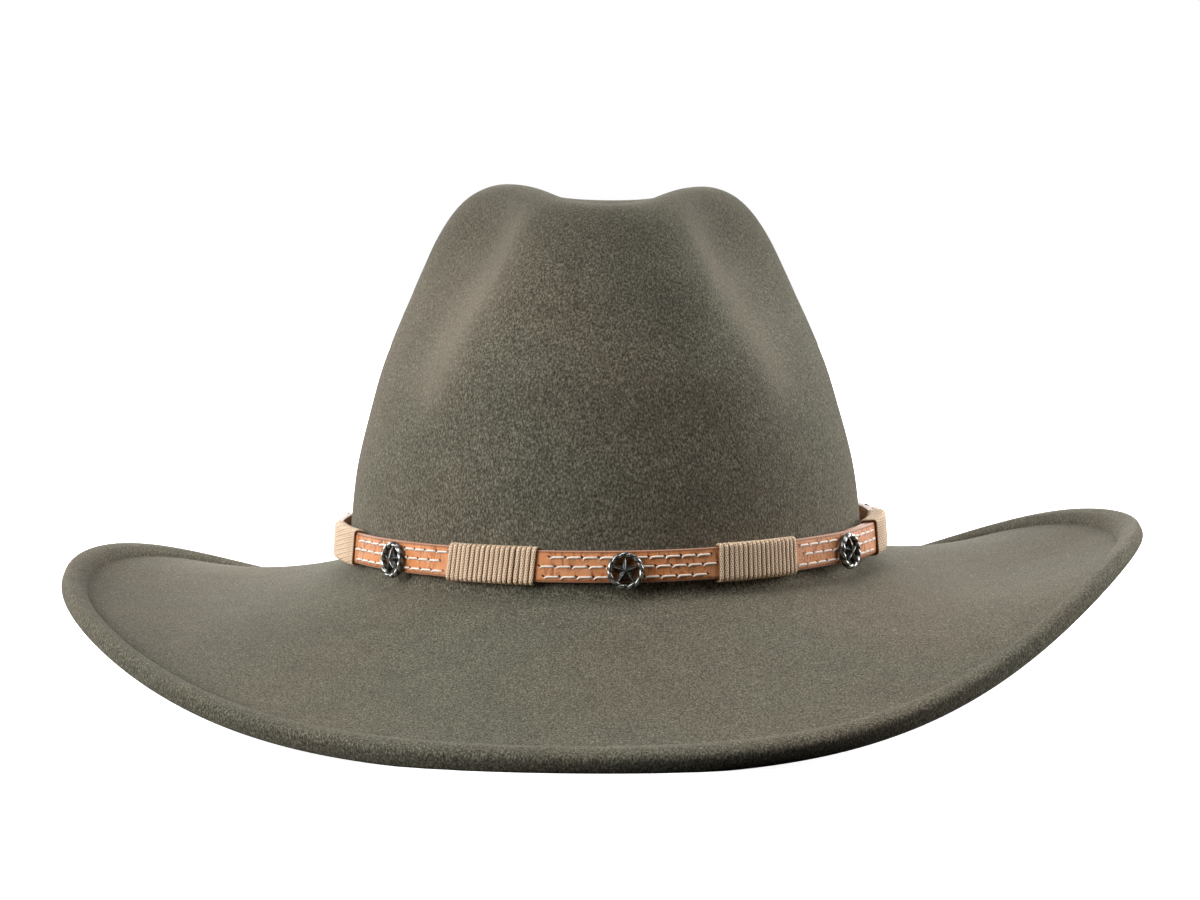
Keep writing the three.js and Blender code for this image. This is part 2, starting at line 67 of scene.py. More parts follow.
# Turns round the brim, every 30 degrees from -150: reach, height of the lip, sag of the belly and rise of
# the root line, all as shares of BRIM_REACH.
BRIM_TURNS = np.array([
    (0.941, 0.0835, 0.045, -0.004), (0.975, 0.3285, 0.065, -0.006), (0.995, 0.3835, 0.1, -0.008),
    (0.975, 0.242, 0.08, -0.006), (0.941, 0.035, 0.04, -0.002), (0.93, -0.009, 0.025, 0),
    (0.936, 0.108, 0.04, 0.005), (0.955, 0.4435, 0.08, 0.01), (0.968, 0.5435, 0.1, 0.018),
    (0.955, 0.455, 0.065, 0.028), (0.936, 0.172, 0.045, 0.018), (0.93, -0.005, 0.025, 0),
])
REACH, LIP, BELLY, ROOT = range(4)
# The turned edge from its groove outwards: way out in mm, and height as a share of the way from the brim's
# upper face to the hem's. Then the shares of its width where rows lie underneath, and the run over which
# the height, upright at the groove, leans over to the hem's own normal.
HEM_ROWS = ((0, -0.01), (0.3, -0.11), (0.6, -0.04), (0.75, 0.17), (1.1, 0.34), (1.8, 0.52), (2.6, 0.68),
            (3.5, 0.84), (4.4, 0.95))
HEM_UNDERSIDE = (0.5, 0.65, 0.8)
HEM_LEAN_RUN = 4
# The dents of the front pinch on the +X side, a broad hollow and a fold line: depth, radius, deep end and
# faint end as shares aside, ahead and up, share of the depth left at the faint end, and direction of the
# push.
PINCHES = (
    (14, 30, (0.595, 0.33, 0.78), (0.97, 0.4, 0.745), 0.17, (-0.96, 0.22, 0.15)),
    (2.7, 8, (0.46, 0.51, 0.886), (0.745, 0.62, 0.51), 0.28, (-0.81, 0.57, -0.13)),
)


def unit(vectors):
    """Vectors of length one."""
    return vectors / np.linalg.norm(vectors, axis=-1, keepdims=True)


def brim_share(column, turn):
    """A column of the brim's table at any turn: the sum of its even rows, each weighted by the
    trigonometric kernel sin(n d / 2) cos(d / 2) / (n sin(d / 2)), where d is the turn away from the row and
    n the number of rows."""
    count = len(BRIM_TURNS)
    rows = np.radians(np.arange(count) * 30 - 150)
    half = (np.asarray(turn, float)[..., None] - rows) / 2
    half = np.where(abs(np.sin(half)) < 1e-9, 1e-9, half)
    return (np.sin(count * half) * np.cos(half) / (count * np.sin(half)) * BRIM_TURNS[:, column]).sum(-1)


def crown_level(place):
    """Rise, side, front and back at a place between the crown's table rows: a cubic through the four rows
    about it. Past the top the outline goes down the dome's other side, so the shares change sign; below the
    root it goes on."""
    below = 2 * CROWN_LEVELS[:1] - CROWN_LEVELS[1:2]
    beyond = CROWN_LEVELS[-2:-1] * (1, -1, -1, -1)
    rows = np.concatenate([below, CROWN_LEVELS, beyond])
    start = np.clip(np.floor(place).astype(int), 0, len(CROWN_LEVELS) - 2)
    share = (place - start)[..., None]
    a, b, c, d = (rows[start + step] for step in range(4))
    bend, twist = 2 * a - 5 * b + 4 * c - d, 3 * b - a - 3 * c + d
    return 0.5 * (2 * b + (c - a) * share + bend * share**2 + twist * share**3)


def dent_line(dent, hand):
    """Deep and faint end of a dent's line, on the side towards +X for a hand of 1 and on the other one for
    -1."""
    _, _, deep, faint, *_ = dent
    half = np.array([hand * CROWN_WIDTH / 2, -CROWN_LENGTH / 2, CROWN_HEIGHT])
    return [half * end + [0, 0, ROOT_HEIGHT] for end in (deep, faint)]


def beside_line(points, start, end):
    """The share of a line from start to end that lies nearest to each point, and the distance from it."""
    line = end - start
    share = np.clip((points - start) @ line / (line @ line), 0, 1)
    return share, np.linalg.norm(points - start - share[..., None] * line, axis=-1)


def crown_point(turn, place):
    """The crown's outer face: at each level an oval of sines and cosines of the turn, lifted by the root
    line, then lowered by the crease (a cosine along it, a bell across it) and pushed in by a bell about
    each pinch line."""
    turn, place = np.broadcast_arrays(np.asarray(turn, float), np.asarray(place, float))
    rise, side, front, back = np.moveaxis(crown_level(place), -1, 0)
    x = CROWN_WIDTH / 2 * side * np.sin(turn) - CROWN_LEAN * rise
    y = CROWN_LENGTH / 4 * ((back - front) - (back + front) * np.cos(turn))
    z = ROOT_HEIGHT + CROWN_HEIGHT * rise + BRIM_REACH * brim_share(ROOT, turn) * (1 - rise)
    along = np.clip((y - CREASE_SHIFT) / (CREASE_LENGTH / 2), -1, 1)
    z = z - CREASE_DEPTH * abs(np.cos(np.pi / 2 * along)) ** CREASE_EASE * np.exp(-((x / CREASE_WIDTH) ** 2))
    point = np.stack([x, y, z], -1)
    for hand in (-1, 1):
        for dent in PINCHES:
            depth, radius, _, _, left, push = dent
            share, away = beside_line(point, *dent_line(dent, hand))
            pressed = depth * (1 + (left - 1) * share) * np.exp(-((away / radius) ** 2))
            point = point + pressed[..., None] * np.array([hand, 1, 1]) * push
    return point


def crown_normal(turn, place):
    """The crown's outward normal: its slope round the crown crossed with its slope up the wall."""
    around = crown_point(turn + SLOPE_STEP, place) - crown_point(turn - SLOPE_STEP, place)
    up = crown_point(turn, place + SLOPE_STEP) - crown_point(turn, np.maximum(place - SLOPE_STEP, 0))
    return unit(np.cross(around, up))


def place_at_height(height):
    """The place between table rows where the crown's wall has a height above the root."""
    places = np.linspace(0, len(CROWN_LEVELS) - 1, HEIGHT_SAMPLES)
    return np.interp(np.asarray(height) / CROWN_HEIGHT, crown_level(places)[:, 0], places)


def outward(turn):
    """Horizontal direction away from the crown at its root."""
    return unit(np.stack([np.sin(turn) * CROWN_LENGTH, -np.cos(turn) * CROWN_WIDTH, 0 * turn], -1))


def front_share(turn):
    """How much a turn belongs to the hat's front: the squared cosine of the turn over the front half."""
    return np.maximum(np.cos(turn), 0) ** 2


def brim_under(turn, distance):
    """The brim's underside at a distance from the root line: a straight run from root to lip, less a
    parabola that is the belly's sag. The lip is as high as if the hem did not hang down."""
    root = crown_point(turn, 0 * turn) - [0, 0, FELT]
    share = distance / (BRIM_REACH * brim_share(REACH, turn))
    lip = BRIM_REACH * brim_share(LIP, turn) + HEM_DROOP * front_share(turn) - REST_PRESS
    sag = 4 * BRIM_REACH * brim_share(BELLY, turn) * share * (1 - share)
    point = root + outward(turn) * distance[..., None]
    point[..., 2] += (lip - root[..., 2]) * share - sag
    return point


def felt_grid():
    """Rows of the felt's section from the crown's top, over the brim and the turned hem, and back
    underneath to the top's inner face; one column for each turn round the hat. Returns the grid and its two
    poles."""
    turn = np.linspace(0, 2 * np.pi, FELT_COLUMNS, endpoint=False)[None, :]
    top = len(CROWN_LEVELS) - 1
    foot = place_at_height(ROOT_FOLD)
    wall = np.linspace(top, foot, CROWN_ROWS)[1:, None]
    crown = crown_point(turn, wall)
    inside = np.linspace(top, foot, LINING_ROWS)[1:, None]
    lining = crown_point(turn, inside) - FELT * crown_normal(turn, inside)

    edge = BRIM_REACH * brim_share(REACH, turn)
    spread = np.linspace(0, 1, BRIM_ROWS)[:, None]
    distance = ROOT_FOLD + (edge - HEM_WIDTH - ROOT_FOLD) * spread
    under = brim_under(turn + 0 * spread, distance)
    over = under + [0, 0, FELT]

    bend = np.linspace(0, 1, FOLD_ROWS)[1:-1, None, None]
    corner = crown_point(turn, 0 * turn)
    inner_corner = corner - FELT * outward(turn) - [0, 0, FELT]
    fold = (1 - bend) ** 2 * crown[-1] + 2 * bend * (1 - bend) * corner + bend**2 * over[0]
    inner_fold = (1 - bend) ** 2 * under[0] + 2 * bend * (1 - bend) * inner_corner + bend**2 * lining[-1]

    # The hem in the frame of the lip: how far inside the edge each row lies, and how high above the
    # underside. The edge is a half circle squared up by a power.
    thickness = 2 * FELT + HEM_LOFT + HEM_SWELL * front_share(turn)
    from_groove, step_up = np.array(HEM_ROWS).T[:, :, None]
    arc = np.radians(np.linspace(90, -90, EDGE_ROWS))[:, None]
    inwards, upwards = (np.sign(value) * abs(value) ** HEM_SQUARE for value in (np.cos(arc), np.sin(arc)))
    bottom_rows = HEM_WIDTH * np.array(HEM_UNDERSIDE)[:, None] + 0 * turn
    far_in = np.concatenate([HEM_WIDTH - from_groove + 0 * turn, thickness / 2 * (1 - inwards), bottom_rows])
    height = np.concatenate([FELT + (thickness - FELT) * step_up, thickness / 2 * (1 + upwards),
                             0 * bottom_rows])
    far_in, height = far_in[..., None], height[..., None]
    before, tip, after = (brim_under(turn + step, edge)
                          - HEM_DROOP * front_share(turn + step)[..., None] * [0, 0, 1]
                          for step in (-SLOPE_STEP, 0, SLOPE_STEP))
    run = tip - brim_under(turn, edge - HEM_WIDTH)
    lean = np.clip((HEM_WIDTH - far_in) / HEM_LEAN_RUN, 0, 1)
    normal = unit(unit(np.cross(run, after - before)) * lean + np.array([0, 0, 1]) * (1 - lean))
    hem = tip - run / HEM_WIDTH * far_in + normal * height

    grid = np.concatenate([crown, fold, over[:-1], hem, under[::-1], inner_fold, lining[::-1]])
    grid[..., 2] = np.maximum(grid[..., 2], 0)
    peak = crown_point(0.0, float(top))
    return grid, (peak, peak - [0, 0, FELT])


def shell(grid, poles=None, looped=False):
    """Points and faces of a closed skin: quads join each ring of the grid (a row) to the next one. Fans
    close the first and last ring to the poles, or to their own middles; a looped skin joins its last ring
    to its first. Faces are turned round where the enclosed volume comes out negative, so that they look
    outwards."""
    rings, round_it = grid.shape[:2]
    n = np.arange(rings if looped else rings - 1)[:, None]
    k = np.arange(round_it)[None, :]
    after, beside = (n + 1) % rings, (k + 1) % round_it
    corners = [n * round_it + k, after * round_it + k, after * round_it + beside, n * round_it + beside]
    quads = np.stack(np.broadcast_arrays(*corners), -1).reshape(-1, 4)
    points, fans = grid.reshape(-1, 3), np.zeros((0, 3), int)
    if not looped:
        first, last = poles if poles is not None else (grid[0].mean(0), grid[-1].mean(0))
        near, far = len(points), len(points) + 1
        ring, next_one = np.arange(round_it), (np.arange(round_it) + 1) % round_it
        start = (rings - 1) * round_it
        fans = np.concatenate([
            np.stack([ring * 0 + near, ring, next_one], -1),
            np.stack([ring * 0 + far, start + next_one, start + ring], -1),
        ])
        points = np.concatenate([points, [first, last]])
    triangles = np.concatenate([quads[:, :3], quads[:, [0, 2, 3]], fans])
    a, b, c = (points[triangles[:, i]] for i in range(3))
    if np.einsum("ij,ij->", a, np.cross(b, c)) < 0:
        quads, fans = quads[:, ::-1], fans[:, ::-1]
    return points, quads, fans


def piece(name, shells, node_names, material, places=None):
    """Makes one mesh object from several closed skins, on body root, in the stead of CAD nodes. Places
    gives each skin's points a vector attribute named place, for patterns that follow the surface."""
    points, faces, start = [], [], 0
    for skin_points, quads, fans in shells:
        points.append(skin_points)
        faces += (quads + start).tolist() + (fans + start).tolist()
        start += len(skin_points)
    mesh = bpy.data.meshes.new(name)
    mesh.from_pydata(np.concatenate(points) * MM, [], faces)
    mesh.polygons.foreach_set("use_smooth", np.ones(len(mesh.polygons), bool))
    if places is not None:
        attribute = mesh.attributes.new("place", "FLOAT_VECTOR", "POINT")
        attribute.data.foreach_set("vector", np.concatenate(places).astype(np.float32).ravel())
    mesh.materials.append(material)
    made = bpy.data.objects.new(name, mesh)
    bpy.context.scene.collection.objects.link(made)
    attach(made, "root")
    if node_names:
        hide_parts(*node_names)
    return made


def linear(colour):
    """An sRGB hex colour as linear red, green, blue and full alpha."""
    srgb = np.array([int(colour[i : i + 2], 16) for i in (0, 2, 4)]) / 255
    return (*np.where(srgb <= 0.04045, srgb / 12.92, ((srgb + 0.055) / 1.055) ** 2.4), 1.0)


def new_material(name):
    """An empty node material and its tree, with a principled shader joined to the output."""
    material = bpy.data.materials.new(name)
    material.use_nodes = True
    tree = material.node_tree
    tree.nodes.clear()
    shader = tree.nodes.new("ShaderNodeBsdfPrincipled")
    tree.links.new(shader.outputs[0], tree.nodes.new("ShaderNodeOutputMaterial").inputs[0])
    return material, tree, shader


def add(tree, kind, sockets=(), **settings):
    """Adds a node of a kind, sets its properties, and sets or links its sockets."""
    node = tree.nodes.new(kind)
    for name, value in settings.items():
        setattr(node, name, value)
    join(tree, node, sockets)
    return node


def join(tree, node, sockets):
    """Sets a node's sockets: another node's output is linked, anything else is a value."""
    for socket, value in dict(sockets).items():
        if isinstance(value, bpy.types.NodeSocket):
            tree.links.new(value, node.inputs[socket])
        else:
            node.inputs[socket].default_value = value


# Wool felt: matted fibres with a short nap that was sanded and brushed. It gives a dull, soft surface with
# a fine salt-and-pepper grain, faint mottling between olive and brown, and a pale bloom where it is seen
# edge-on.
FELT_OLIVE, FELT_BROWN, FELT_SHADE, FELT_FIBRE = "5c5b4e", "635b4e", "33322a", "96917f"
# The first colour on the next line is a painted highlight for the fold of each pinch.
FELT_FOLD_HIGHLIGHT, FELT_BLOOM = "93887a", "b5ae9c"
FIBRE_CLUMP, NAP_TUFT, MOTTLE, STEAM_MARK = 0.5, 2.2, 12, 70

wool_felt, tree, shader = new_material("wool_felt")
where = add(tree, "ShaderNodeTexCoord").outputs["Object"]
# The nap is brushed down the crown, so that its clumps are longer than wide there.
brushed = add(tree, "ShaderNodeMapping", {"Vector": where, "Scale": (1.0, 1.0, 0.55)}).outputs[0]
clump = add(tree, "ShaderNodeTexNoise", {"Vector": brushed, "Scale": 1 / (FIBRE_CLUMP * MM), "Detail": 3,
                                         "Roughness": 0.7}).outputs["Fac"]
tuft = add(tree, "ShaderNodeTexNoise", {"Vector": where, "Scale": 1 / (NAP_TUFT * MM), "Detail": 2,
                                        "Roughness": 0.6, "Distortion": 0.6}).outputs["Fac"]
mottle = add(tree, "ShaderNodeTexNoise", {"Vector": where, "Scale": 1 / (MOTTLE * MM), "Detail": 3,
                                          "Roughness": 0.6}).outputs["Fac"]
steam = add(tree, "ShaderNodeTexNoise", {"Vector": where, "Scale": 1 / (STEAM_MARK * MM),
                                         "Detail": 2}).outputs["Fac"]
hue = add(tree, "ShaderNodeMapRange", {"Value": steam, "From Min": 0.38, "From Max": 0.62}).outputs["Result"]
dyed = add(tree, "ShaderNodeMix", {0: hue, 6: linear(FELT_OLIVE), 7: linear(FELT_BROWN)},
           data_type="RGBA").outputs[2]
pits = add(tree, "ShaderNodeMapRange", {"Value": clump, "From Min": 0.52, "From Max": 0.35}).outputs[0]
pitted = add(tree, "ShaderNodeMix", {0: pits, 6: dyed, 7: linear(FELT_SHADE)}, data_type="RGBA").outputs[2]
tips = add(tree, "ShaderNodeMapRange", {"Value": clump, "From Min": 0.52, "From Max": 0.68,
                                        "To Max": 0.86}).outputs[0]
napped = add(tree, "ShaderNodeMix", {0: tips, 6: pitted, 7: linear(FELT_FIBRE)}, data_type="RGBA").outputs[2]
cloud = add(tree, "ShaderNodeMath", {0: mottle, 1: tuft}, operation="ADD").outputs[0]
tone = add(tree, "ShaderNodeMapRange", {"Value": cloud, "From Min": 0.7, "From Max": 1.3, "To Min": 0.88,
                                        "To Max": 1.12}).outputs[0]
tones = add(tree, "ShaderNodeCombineXYZ", {0: tone, 1: tone, 2: tone}).outputs[0]
felt_colour = add(tree, "ShaderNodeVectorMath", {0: napped, 1: tones}, operation="MULTIPLY").outputs[0]
# The attribute place holds a painted highlight along the fold of each pinch, and how much the felt is
# darkened towards the crown's top.
place = add(tree, "ShaderNodeAttribute", attribute_name="place").outputs["Vector"]
highlight_and_darkening = add(tree, "ShaderNodeSeparateXYZ", {0: place}).outputs
fold_highlighted_felt = add(tree, "ShaderNodeMix", {0: highlight_and_darkening[0], 6: felt_colour, 7: linear(FELT_FOLD_HIGHLIGHT)},
                  data_type="RGBA").outputs[2]
top_darkened_felt = add(tree, "ShaderNodeMix", {0: highlight_and_darkening[1], 6: fold_highlighted_felt, 7: linear(FELT_SHADE)},
                   data_type="RGBA").outputs[2]
nap_height = add(tree, "ShaderNodeMath", {0: clump, 1: tuft}, operation="ADD").outputs[0]
nap_bump = add(tree, "ShaderNodeBump", {"Height": nap_height, "Strength": 0.8, "Distance": 0.3 * MM}).outputs[0]
join(tree, shader, {"Base Color": top_darkened_felt, "Roughness": 0.95, "Specular IOR Level": 0.15, "IOR": 1.45,
                    "Sheen Weight": 0.25, "Sheen Roughness": 0.55, "Sheen Tint": linear(FELT_BLOOM),
                    "Normal": nap_bump})

# A painted highlight, pale along the fold of each pinch, and the felt darker towards the crown's top.
FOLD_HIGHLIGHT_MOST, FOLD_HIGHLIGHT_RADIUS = 0.7, 11
TOP_DARKENING_MOST, TOP_DARKENING_FROM, TOP_DARKENING_RANGE = 0.42, 116, 45


def fold_highlight_and_top_darkening(points):
    """How much painted highlight each point gets, a bell about the line of each pinch's fold, and how much it
    is darkened, a smooth step up the crown."""
    lightened = 0
    for hand in (-1, 1):
        _, away = beside_line(points, *dent_line(PINCHES[1], hand))
        lightened = lightened + FOLD_HIGHLIGHT_MOST * np.exp(-((away / FOLD_HIGHLIGHT_RADIUS) ** 2))
    raised = np.clip((points[:, 2] - TOP_DARKENING_FROM) / TOP_DARKENING_RANGE, 0, 1)
    top_darkening = TOP_DARKENING_MOST * raised**2 * (3 - 2 * raised)
    return np.stack([lightened, top_darkening, 0 * top_darkening], -1)


grid, felt_poles = felt_grid()
# The origin lies under the middle of the brim's outline, as in the CAD, so everything made round the
# crown's axis is moved by the distance between the two.
axis_shift = np.array([*(grid.reshape(-1, 3).min(0) + grid.reshape(-1, 3).max(0))[:2] / -2, 0])
felt_points, felt_quads, felt_fans = shell(grid, felt_poles)
felt_skin = (felt_points + axis_shift, felt_quads, felt_fans)
piece("felt_hood", [felt_skin], ["felt_body"], wool_felt, [fold_highlight_and_top_darkening(felt_points)])

# Band strap. One strip of vegetable-tanned cowhide, dyed tan and waxed, cut 9.5 mm wide with its edges
# rounded. It goes once round the crown's foot, its inner end tucked between the crown and the outer layer
# on the +X side.
GAP, CORD_BEHIND, CORD = 0.25, 0.5, 0.8
STRAP_WIDTH, STRAP_THICKNESS = 9.5, 1.8
EDGE_ROUND, FACE_SWELL = 0.45, 0.12
# Where the band stands off the crown loosely: turn of the loosest place, slack there, and turn in which it
# falls.
SLACK_PLACES = ((-86, 1.5, 26), (98, 2.5, 34))
BAND_LIFT, BAND_TURN, STATIONS, BINDING_WRAP = 1.3, 5.5, 7, 1
WRAP_LENGTH, TAIL_SHOWN, TAIL_HIDDEN, TAIL_RAMP = 31.5, 19.6, 15, 26
# How far a wrap or a concho was set from its even place, as a share of the way between two of them.
HAND_SLIPS = {
    ("wrap", 0): 0.03, ("concho", 5): -0.25, ("wrap", 5): 0.08, ("concho", 6): 0.11, ("wrap", 6): 0.03,
}
LOOP_SAMPLES, STRAP_ROWS = 1441, 560
# Steps of a rounded outline on each corner, on the long faces and on the short ends.
CORNER_STEPS, FACE_STEPS, END_STEPS = 5, 14, 3

stand_off = 2 * GAP + CORD_BEHIND
layer_pitch = STRAP_THICKNESS + GAP
strap_foot = ROOT_FOLD + BAND_LIFT + CORD
foot_place, middle_place, head_place = place_at_height(strap_foot + STRAP_WIDTH * np.array([0, 0.5, 1]))


def strap_frame(turn, climb=0):
    """Place on the strap's inner face half-way up, and its directions along, up and out, from the crown's
    slopes. It stands further off by a bell about each loose place."""
    turn = np.asarray(turn, float)
    place = crown_point(turn, middle_place)
    along = unit(crown_point(turn + SLOPE_STEP, middle_place) - crown_point(turn - SLOPE_STEP, middle_place))
    up = crown_point(turn, head_place) - crown_point(turn, foot_place)
    up = unit(up - along * (up * along).sum(-1, keepdims=True))
    out = np.cross(along, up)
    slack = sum(most * np.exp(-(((np.degrees(turn) - middle + 180) % 360 - 180) / spread) ** 2)
                for middle, most, spread in SLACK_PLACES)
    return place + out * (stand_off + slack + climb)[..., None], along, up, out


loop_turns = np.linspace(0, 2 * np.pi, LOOP_SAMPLES)
middle_line, _, _, middle_out = strap_frame(loop_turns)
middle_line = middle_line + middle_out * STRAP_THICKNESS / 2
loop_lengths = np.concatenate([[0], np.cumsum(np.linalg.norm(np.diff(middle_line, axis=0), axis=1))])
loop_length = loop_lengths[-1]
station = loop_length / (2 * STATIONS)
concho_lengths, wrap_lengths = (
    [BAND_TURN + station * (2 * n + first + HAND_SLIPS.get((kind, n), 0)) for n in range(STATIONS)]
    for first, kind in enumerate(("concho", "wrap"))
)
tail_start = wrap_lengths[BINDING_WRAP] - WRAP_LENGTH / 2 - TAIL_SHOWN
strap_end = loop_length + wrap_lengths[BINDING_WRAP] + WRAP_LENGTH / 2 + TAIL_HIDDEN


def frame_at_length(length, climb=0):
    """The strap's frame at a length along it from the hat's front."""
    return strap_frame(np.interp(np.mod(length, loop_length), loop_lengths, loop_turns), climb)


def climb_at(length):
    """How far the strap has climbed over its tucked end: a smooth step just before that end."""
    share = np.clip((length - (loop_length + tail_start - TAIL_RAMP)) / TAIL_RAMP, 0, 1)
    return layer_pitch * share**2 * (3 - 2 * share)


def rounded_box(inner, outer, half, radius):
    """Outline of a rounded rectangle, out and up from the strap's inner face: four quarter circles joined
    by straight runs. The outline climbs on its outer face."""
    middle = (inner + outer) / 2
    reach = (outer - inner) / 2 - radius
    corners = []
    for quarter, (side_out, side_up) in enumerate([(1, -1), (1, 1), (-1, 1), (-1, -1)]):
        angle = np.radians(np.linspace(-90, 0, CORNER_STEPS) + 90 * quarter)
        out = middle + side_out * reach + radius * np.cos(angle)
        up = side_up * (half - radius) + radius * np.sin(angle)
        corners.append(np.stack([out, up], -1))
    outline = []
    for quarter, corner in enumerate(corners):
        following = corners[(quarter + 1) % 4]
        steps = FACE_STEPS if quarter % 2 == 0 else END_STEPS
        outline += [corner, np.linspace(corner[-1], following[0], steps + 1)[1:-1]]
    return np.concatenate(outline)


# Waxed leather: hide pressed smooth, with fine pores and creases that run across the bend. It gives a satin
# surface of tan with warmer and browner clouds, darker pressed edges on the face, and a paler raw edge.
LEATHER_TAN, LEATHER_WARM, LEATHER_BROWN = "d88c56", "e29e70", "7a4322"
# The second colour on the next line is painted shade for the needle holes.
LEATHER_EDGE, LEATHER_HOLE_SHADE = "b98d76", "1d120c"
PORE, CREASING, DYE_CLOUD = 0.5, 1.6, 9
# Ways in from the strap's edge: the raw edge and where it fades, the pressed rim and where that fades.
RAW_EDGE, RAW_FADE, RIM_EDGE, RIM_FADE = 0.3, 0.42, 0.5, 1.1
STITCH_PITCH, STITCH_ROWS = 4.9, (0.22, 0.51, 0.83)
ROW_START = (0.0, 1.9, 3.3)
HOLE_RADIUS, HOLE_RISE, HOLE_SLANT = 0.46, 0.25, 0.7

waxed_leather, tree, shader = new_material("waxed_leather")
# The attribute place holds the length along the strap, the height above its middle line and the depth out,
# in mm.
place = add(tree, "ShaderNodeAttribute", attribute_name="place").outputs["Vector"]
parts = add(tree, "ShaderNodeSeparateXYZ", {0: place}).outputs
pores = add(tree, "ShaderNodeTexNoise", {"Vector": place, "Scale": 1 / PORE, "Detail": 2}).outputs["Fac"]
creased = add(tree, "ShaderNodeMapping", {"Vector": place, "Scale": (1.0, 0.35, 1.0)}).outputs[0]
creases = add(tree, "ShaderNodeTexNoise", {"Vector": creased, "Scale": 1 / CREASING, "Detail": 4, "Roughness": 0.65,
                                           "Distortion": 0.8}).outputs["Fac"]
clouds = add(tree, "ShaderNodeTexNoise", {"Vector": place, "Scale": 1 / DYE_CLOUD, "Detail": 3}).outputs["Fac"]
cloud = add(tree, "ShaderNodeMapRange", {"Value": clouds, "From Min": 0.35, "From Max": 0.65}).outputs[0]
tan = add(tree, "ShaderNodeMix", {0: cloud, 6: linear(LEATHER_TAN), 7: linear(LEATHER_WARM)},
          data_type="RGBA").outputs[2]
furrow = add(tree, "ShaderNodeMapRange", {"Value": creases, "From Min": 0.52, "From Max": 0.34,
                                          "To Max": 0.75}).outputs[0]
grained = add(tree, "ShaderNodeMix", {0: furrow, 6: tan, 7: linear(LEATHER_BROWN)},
              data_type="RGBA").outputs[2]
side = add(tree, "ShaderNodeMath", {0: parts[1]}, operation="ABSOLUTE").outputs[0]
way_in = add(tree, "ShaderNodeMath", {0: STRAP_WIDTH / 2, 1: side}, operation="SUBTRACT").outputs[0]
raw = add(tree, "ShaderNodeMapRange", {"Value": way_in, "From Min": RAW_FADE, "From Max": RAW_EDGE}).outputs[0]
pressed = add(tree, "ShaderNodeMapRange", {"Value": way_in, "From Min": RIM_FADE, "From Max": RIM_EDGE,
                                           "To Max": 0.75}).outputs[0]
darkened = add(tree, "ShaderNodeMix", {0: pressed, 6: grained, 7: linear(LEATHER_BROWN)},
               data_type="RGBA").outputs[2]
edged = add(tree, "ShaderNodeMix", {0: raw, 6: darkened, 7: linear(LEATHER_EDGE)},
            data_type="RGBA").outputs[2]
# Needle holes: in each row the distance to the nearest multiple of the stitch pitch, joined with the
# distance to the row, is small. The smallest of the three rows counts.
nearest = STITCH_PITCH
for row, start in zip(STITCH_ROWS, ROW_START):
    across = add(tree, "ShaderNodeMath", {0: parts[1], 1: STRAP_WIDTH * (0.5 - row) + HOLE_RISE},
                 operation="SUBTRACT").outputs[0]
    slanted = add(tree, "ShaderNodeMath", {0: across, 1: HOLE_SLANT, 2: parts[0]},
                  operation="MULTIPLY_ADD").outputs[0]
    slid = add(tree, "ShaderNodeMath", {0: slanted, 1: start}, operation="SUBTRACT").outputs[0]
    beside = add(tree, "ShaderNodeMath", {0: slid, 1: STITCH_PITCH / 2}, operation="PINGPONG").outputs[0]
    offset = add(tree, "ShaderNodeCombineXYZ", {0: beside, 1: across}).outputs[0]
    away = add(tree, "ShaderNodeVectorMath", {0: offset}, operation="LENGTH").outputs["Value"]
    nearest = add(tree, "ShaderNodeMath", {0: nearest, 1: away}, operation="MINIMUM").outputs[0]
# Each hole is dipped in the bump and painted dark as the shade inside it.
hole_pit_and_shade = add(tree, "ShaderNodeMapRange", {"Value": nearest, "From Min": HOLE_RADIUS,
                                        "From Max": 0.6 * HOLE_RADIUS}).outputs[0]
leather_colour = add(tree, "ShaderNodeMix", {0: hole_pit_and_shade, 6: edged, 7: linear(LEATHER_HOLE_SHADE)},
                     data_type="RGBA").outputs[2]
ground = add(tree, "ShaderNodeMath", {0: pores, 1: creases}, operation="ADD").outputs[0]
relief = add(tree, "ShaderNodeMath", {0: ground, 1: hole_pit_and_shade}, operation="SUBTRACT").outputs[0]
leather_bump = add(tree, "ShaderNodeBump", {"Height": relief, "Strength": 0.5, "Distance": 0.3 * MM}).outputs[0]
polish = add(tree, "ShaderNodeMapRange", {"Value": pores, "To Min": 0.42, "To Max": 0.62}).outputs[0]
join(tree, shader, {"Base Color": leather_colour, "Roughness": polish, "Specular IOR Level": 0.22, "IOR": 1.5,
                    "Normal": leather_bump})

strap_section = rounded_box(0, STRAP_THICKNESS, STRAP_WIDTH / 2, EDGE_ROUND)
# The face swells a little between its edges, as a waxed strip does.
on_face = strap_section[:, 0] > STRAP_THICKNESS - 0.01
strap_section[:, 0] += FACE_SWELL * np.cos(np.pi / STRAP_WIDTH * strap_section[:, 1]) * on_face
strap_run = np.linspace(tail_start, strap_end, STRAP_ROWS)


def strap_surface(length, section, climb):
    """A section, out and up, carried along the strap. Returns the grid and each point's length, height and
    depth."""
    place, along, up, out = (part[:, None, :] for part in frame_at_length(length, climb))
    grid = place + out * section[None, :, :1] + up * section[None, :, 1:]
    where = np.stack(np.broadcast_arrays(length[:, None], section[None, :, 1], section[None, :, 0]), -1)
    return grid + axis_shift, where


grid, where = strap_surface(strap_run, strap_section, climb_at(strap_run))
ends = [where[0].mean(0), where[-1].mean(0)]
piece("leather_strip", [shell(grid)], ["band_strap"], waxed_leather,
      [np.concatenate([where.reshape(-1, 3), ends])])

